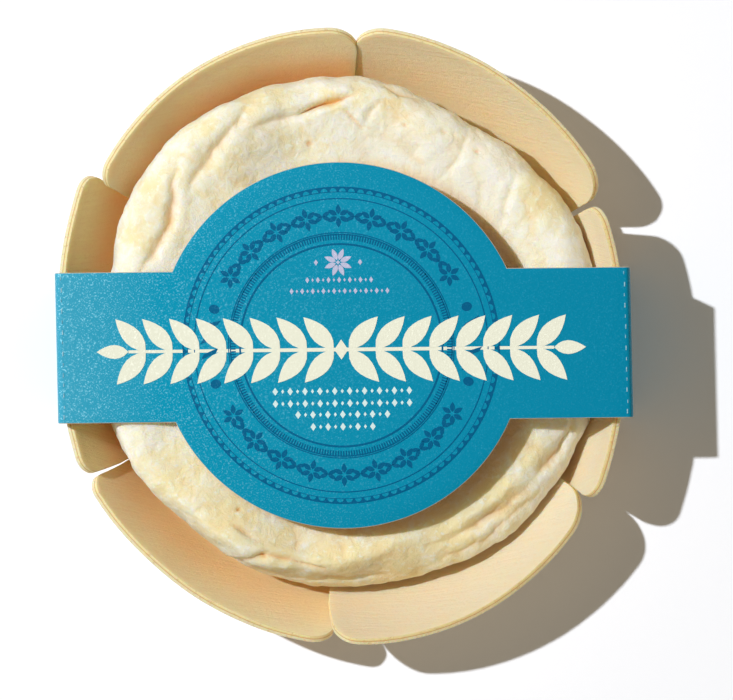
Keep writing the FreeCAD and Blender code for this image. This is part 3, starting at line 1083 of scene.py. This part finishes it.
def joined(shapes):
    points, faces = [], []
    first = 0
    for shapePoints, shapeFaces in shapes:
        points.append(shapePoints)
        faces += [tuple(first + corner for corner in face) for face in shapeFaces]
        first += len(shapePoints)
    return np.concatenate(points), faces


def ringShape(inner, outer, height, steps=360):
    # closed flat ring
    turns = np.arange(steps) * 2 * math.pi / steps
    circle = np.column_stack([np.cos(turns), np.sin(turns)])
    low = -printValues["sunk"]
    sides = [(inner, height), (outer, height), (outer, low), (inner, low)]
    points = np.concatenate([np.column_stack([circle * radius, np.full(steps, z)]) for radius, z in sides])
    loops = np.arange(4 * steps).reshape(4, steps)
    faces = []
    for side in range(4):
        faces += loopFaces(loops[side], loops[(side + 1) % 4])
    return points, faces


def leafOutline(length, width, steps=7):
    # pointed leaf along +X from its stalk at the origin
    upper = []
    for step in range(steps + 1):
        share = step / steps
        upper.append((length * share, width / 2 * math.sin(math.pi * share ** 0.85) ** 0.9))
    return upper + [(x, -y) for x, y in upper[-2:0:-1]]


def lozenge(length, width):
    return [(length / 2, 0), (0, width / 2), (-length / 2, 0), (0, -width / 2)]


def halfRound(radius, steps=7):
    turns = [math.pi * k / steps for k in range(steps + 1)]
    return [(radius * math.sin(turn), -radius * math.cos(turn)) for turn in turns]


def turnedShape(shape, degrees, shift=(0, 0)):
    points, faces = shape
    turn = math.radians(degrees)
    x = points[:, 0] * math.cos(turn) - points[:, 1] * math.sin(turn) + shift[0]
    y = points[:, 0] * math.sin(turn) + points[:, 1] * math.cos(turn) + shift[1]
    return np.column_stack([x, y, points[:, 2]]), faces


def newRowTree(name, settings):
    # node group with an output and the named inputs of one kind of row
    tree = bpy.data.node_groups.new(name, "GeometryNodeTree")
    tree.interface.new_socket("Geometry", in_out="OUTPUT", socket_type="NodeSocketGeometry")
    kinds = {"Motif": "Object", "Ink": "Material", "Count": "Int", **{label: "Float" for label in settings}}
    for label, kind in kinds.items():
        tree.interface.new_socket(label, in_out="INPUT", socket_type="NodeSocket" + kind)
    return tree, addNode(tree, "NodeGroupInput").outputs


def closeRowTree(tree, given, places, turn, size):
    motif = addNode(tree, "GeometryNodeObjectInfo", {"Object": given["Motif"]}).outputs["Geometry"]
    rotation = addNode(tree, "ShaderNodeCombineXYZ", {"Z": turn}).outputs[0]
    scale = addNode(tree, "ShaderNodeCombineXYZ", {"X": size, "Y": size, "Z": 1.0}).outputs[0]
    placed = addNode(tree, "GeometryNodeInstanceOnPoints", {"Points": places, "Instance": motif,
                     "Rotation": rotation, "Scale": scale})
    real = addNode(tree, "GeometryNodeRealizeInstances", {"Geometry": placed.outputs[0]})
    inked = addNode(tree, "GeometryNodeSetMaterial", {"Geometry": real.outputs[0],
                    "Material": given["Ink"]})
    addNode(tree, "NodeGroupOutput", {"Geometry": inked.outputs[0]})
    return tree


def alternating(tree, given):
    # full size on every even place, Second Size on every odd one
    index = addNode(tree, "GeometryNodeInputIndex").outputs[0]
    odd = calc(tree, "MODULO", index, 2.0)
    change = calc(tree, "MULTIPLY", odd, calc(tree, "SUBTRACT", given["Second Size"], 1.0))
    return calc(tree, "ADD", 1.0, change)


def ringRowTree():
    # motifs round a circle, their +X pointing outwards
    tree, given = newRowTree("ringRow", ["Radius", "Start", "Step", "Second Size"])
    line = addNode(tree, "GeometryNodeMeshLine", {"Count": given["Count"], "Offset": (0, 0, 0)})
    index = addNode(tree, "GeometryNodeInputIndex").outputs[0]
    angle = calc(tree, "ADD", given["Start"], calc(tree, "MULTIPLY", index, given["Step"]))
    x = calc(tree, "MULTIPLY", given["Radius"], calc(tree, "COSINE", angle))
    y = calc(tree, "MULTIPLY", given["Radius"], calc(tree, "SINE", angle))
    place = addNode(tree, "ShaderNodeCombineXYZ", {"X": x, "Y": y}).outputs[0]
    places = addNode(tree, "GeometryNodeSetPosition", {"Geometry": line.outputs[0], "Position": place})
    return closeRowTree(tree, given, places.outputs[0], angle, alternating(tree, given))


def straightRowTree():
    # motifs along a straight line, each turned by the same angle, with a little play
    settings = ["From X", "From Y", "Step X", "Step Y", "Turn", "Second Size", "Play"]
    tree, given = newRowTree("straightRow", settings)
    low = calc(tree, "MULTIPLY", given["Play"], -1.0)
    plays = [addNode(tree, "FunctionNodeRandomValue", {2: low, 3: given["Play"], "Seed": seed},
                     data_type="FLOAT").outputs[1] for seed in (5, 9)]
    pairs = [(given["From X"], given["From Y"]), (given["Step X"], given["Step Y"]), plays]
    start, step, move = [addNode(tree, "ShaderNodeCombineXYZ", {"X": x, "Y": y}).outputs[0]
                         for x, y in pairs]
    line = addNode(tree, "GeometryNodeMeshLine", {"Count": given["Count"], "Start Location": start,
                   "Offset": step})
    places = addNode(tree, "GeometryNodeSetPosition", {"Geometry": line.outputs[0], "Offset": move})
    return closeRowTree(tree, given, places.outputs[0], given["Turn"], alternating(tree, given))


rowTrees = {"ring": ringRowTree(), "straight": straightRowTree()}


def rowOf(kind, shape, material, values):
    # runs one row of motifs through its node tree and gives the plain points and faces
    points, faces = shape
    motifMesh = bpy.data.meshes.new("motif")
    motifMesh.from_pydata(np.asarray(points).tolist(), [], faces)
    motif = addObject("motif", motifMesh)
    carrier = addObject("rowCarrier", bpy.data.meshes.new("rowCarrier"))
    rows = carrier.modifiers.new("row", "NODES")
    rows.node_group = rowTrees[kind]
    given = {"Motif": motif, "Ink": material, "Second Size": 1.0, "Play": 0.0, **values}
    for item in rowTrees[kind].interface.items_tree:
        if item.in_out == "INPUT" and item.name in given:
            rows[item.identifier] = given[item.name]
    carrier.update_tag()
    graph = bpy.context.evaluated_depsgraph_get()
    plain = bpy.data.meshes.new_from_object(carrier.evaluated_get(graph))
    found = np.zeros(len(plain.vertices) * 3)
    plain.vertices.foreach_get("co", found)
    madeFaces = [tuple(face.vertices) for face in plain.polygons]
    carrier.modifiers.remove(rows)
    for made in (motif, carrier):
        bpy.data.objects.remove(made)
    bpy.data.meshes.remove(plain)
    return found.reshape(-1, 3), madeFaces


def ringRow(shape, material, radius, count, start, step, second=1.0):
    return rowOf("ring", shape, material, {"Radius": radius, "Count": count, "Start": math.radians(start),
                 "Step": math.radians(step), "Second Size": second})


def straightRow(shape, material, start, step, count, turn=0.0, second=1.0, play=0.0):
    return rowOf("straight", shape, material, {"From X": float(start[0]), "From Y": float(start[1]),
                 "Step X": float(step[0]), "Step Y": float(step[1]), "Count": count,
                 "Turn": math.radians(turn), "Second Size": second, "Play": play})


def printPiece(name, shapes, material, centred=True):
    # joins shapes, lays them on the card and makes the piece
    points, faces = joined(shapes)
    points = points.astype(float)
    if centred:
        points[:, 0] += cardValues["discOffset"]
    points[:, 2] += cardTop(points[:, 0], points[:, 1])
    mesh = makeMesh(name, layOnCard(points), faces)
    mesh.polygons.foreach_set("use_smooth", np.zeros(len(mesh.polygons), dtype=bool))
    return placePiece(mesh, name, material, "sleeve")


def printRings(deep, blue):
    ink = printValues["height"]
    rings = [ringShape(*printValues[key], ink)
             for key in ("beadBand", "outerLine", "innerLine", "boldLine")]
    printPiece("print_rings", rings, deep)
    beads = printValues["beadCount"]
    inner, outer = printValues["beadBand"]
    bead = flatShape(halfRound((outer - inner) * 0.62), ink * 1.6)
    printPiece("print_beads", [ringRow(bead, blue, inner + 0.12, beads, 0, 360 / beads)], blue)
    low, high = printValues["tickBand"]
    tick = flatShape([(0, -0.12), (high - low, -0.12), (high - low, 0.12), (0, 0.12)], ink)
    ticks = printValues["tickCount"]
    tickRing = ringShape(high - 0.22, high, ink)
    printPiece("print_ticks", [ringRow(tick, deep, low, ticks, 0, 360 / ticks), tickRing], deep)


def printDividers(deep):
    # slanted bars and drops between the two garlands
    ink = printValues["height"]
    radius = printValues["dividerRadius"]
    bar = flatShape([(-1.75, -1.1), (-1.15, -0.1), (1.75, 1.0), (1.15, 0.0)], ink)
    turns = np.linspace(0, 2 * math.pi, 17)[:-1]
    drop = flatShape([(math.cos(turn), 0.85 * math.sin(turn)) for turn in turns], ink)
    shapes = []
    for side in (0, 180):
        shapes.append(ringRow(bar, deep, radius, 4, side - 9.5, 19.0 / 3))
        shapes.append(ringRow(drop, deep, radius, 2, side - 16.5, 33.0))
    printPiece("print_dividers", shapes, deep)


def smallFlower(height):
    # six short petals
    petal = flatShape(leafOutline(1.85, 0.95, 5), height)
    shapes = []
    for k in range(6):
        turn = math.pi * k / 3
        shapes.append(turnedShape(petal, 60 * k, (0.34 * math.cos(turn), 0.34 * math.sin(turn))))
    return joined(shapes)


def leafPair(height):
    # four slim leaves that spread from one point, between two flowers
    leaf = flatShape(leafOutline(1.9, 0.75, 5), height)
    return joined([turnedShape(leaf, turn) for turn in (62, -62, 118, -118)])


def printGarlands(deep):
    ink = printValues["height"]
    count, step = printValues["flowerCount"], printValues["flowerStep"]
    radius = printValues["flowerRadius"]
    spread = step * (count - 1) / 2
    shapes = []
    for side in (90, 270):
        shapes.append(ringRow(smallFlower(ink), deep, radius, count, side - spread, step))
        shapes.append(ringRow(leafPair(ink), deep, radius, count - 1, side - spread + step / 2, step))
    printPiece("print_garlands", shapes, deep)


def printBranch(cream):
    # leafy branch along the whole band, mirrored about a diamond in the middle
    ink = printValues["height"] * 1.9
    pitch, pairs = printValues["leafPitch"], printValues["leafPairs"]
    half = printValues["branchHalf"]
    leaf = flatShape(leafOutline(8.2, 3.3), ink)
    small = flatShape(leafOutline(6.0, 2.6), ink)
    shapes = []
    for side in (1, -1):
        first = side * 1.4
        for up in (1, -1):
            turn = 47 * up if side > 0 else 180 - 47 * up
            shapes.append(straightRow(leaf, cream, (first, 0.15 * up), (side * pitch, 0), pairs - 1, turn))
        tip = side * (half - 6.0)
        shapes.append(turnedShape(small, 0 if side > 0 else 180, (tip, 0)))
        stem = [(side * 0.6, -0.35), (tip, -0.28), (tip, 0.28), (side * 0.6, 0.35)]
        shapes.append(flatShape(stem, ink))
    shapes.append(flatShape(lozenge(2.6, 3.8), ink))
    points, faces = joined(shapes)
    points = points + (0.0, -0.8, 0.0)
    printPiece("print_branch", [(points, faces)], cream)


def printEmblem(lilac):
    # eight-petalled flower between two small diamonds, over two rows of fine diamonds
    ink = printValues["height"]
    petal = flatShape(leafOutline(2.3, 0.95), ink)
    x, y = printValues["flowerPlace"]
    shapes = [turnedShape(ringRow(petal, lilac, 0.45, 8, 0, 45.0), 22.5, (x, y)),
              turnedShape(flatShape(lozenge(0.8, 0.8), ink), 0, (x, y))]
    shapes += [turnedShape(flatShape(lozenge(0.8, 1.1), ink), 0, (x + aside, y)) for aside in (-4.15, 4.15)]
    fine = flatShape(lozenge(0.75, 1.15), ink)
    for start, count in printValues["fineRows"]:
        shapes.append(straightRow(fine, lilac, start, (1.0, 0), count, 0, 0.6))
    printPiece("print_emblem", shapes, lilac)


def printRows(pale):
    # four rows of small diamonds below the branch
    ink = printValues["height"]
    diamond = flatShape(lozenge(1.05, 1.5), ink)
    shapes = []
    for height, count in printValues["diamondRows"]:
        shapes.append(straightRow(diamond, pale, ((1 - count) * 0.7, height), (1.4, 0), count, 0, 0.55))
    printPiece("print_rows", shapes, pale)


def makePerforations(material):
    # torn bridges of the tear lines beside both folds
    halfTop = cardValues["bandLength"] / 2
    width = cardValues["bandWidth"]
    nick = flatShape([(-0.10, -0.42), (0.10, -0.42), (0.10, 0.42), (-0.10, 0.42)], 0.10)
    count = 14
    step = (0, width / (count + 0.2))
    shapes = []
    for side, along in ((1, halfTop - 0.85), (-1, halfTop - 0.95)):
        start = (side * along, -width / 2 + step[1] * 0.6)
        shapes.append(straightRow(nick, material, start, step, count, 0, 0.7, 0.12))
    printPiece("card_perforations", shapes, material, False)


def coreMaterial():
    material, tree, shader = newMaterial("tornCardCore", {"Specular IOR Level": 0.2})
    fibre = noiseOf(tree, objectPoint(tree), 2400, 3, 0.7)
    tone = mixColour(tree, rangeOf(tree, fibre, 0.3, 0.7), tint(96, 172, 200), tint(170, 212, 226))
    linkFinish(tree, shader, tone, rangeOf(tree, fibre, 0.3, 0.7, 0.7, 0.9), fibre, 0.4, 0.0001)
    return material


deepInk = pearlInk("deepBlueInk", inkShades["deepBlue"], fleckColours["deepBlue"], 0.5)
blueInk = pearlInk("blueInk", inkShades["blue"], fleckColours["blue"], 0.8)
creamInk = pearlInk("creamInk", inkShades["cream"], fleckColours["pale"], 0.4)
printRings(deepInk, blueInk)
printDividers(deepInk)
printGarlands(deepInk)
printBranch(creamInk)
printEmblem(pearlInk("lilacInk", inkShades["lilac"], fleckColours["pale"], 0.3))
printRows(pearlInk("paleBlueInk", inkShades["paleBlue"], fleckColours["pale"], 0.3))
makePerforations(coreMaterial())
print("print made")
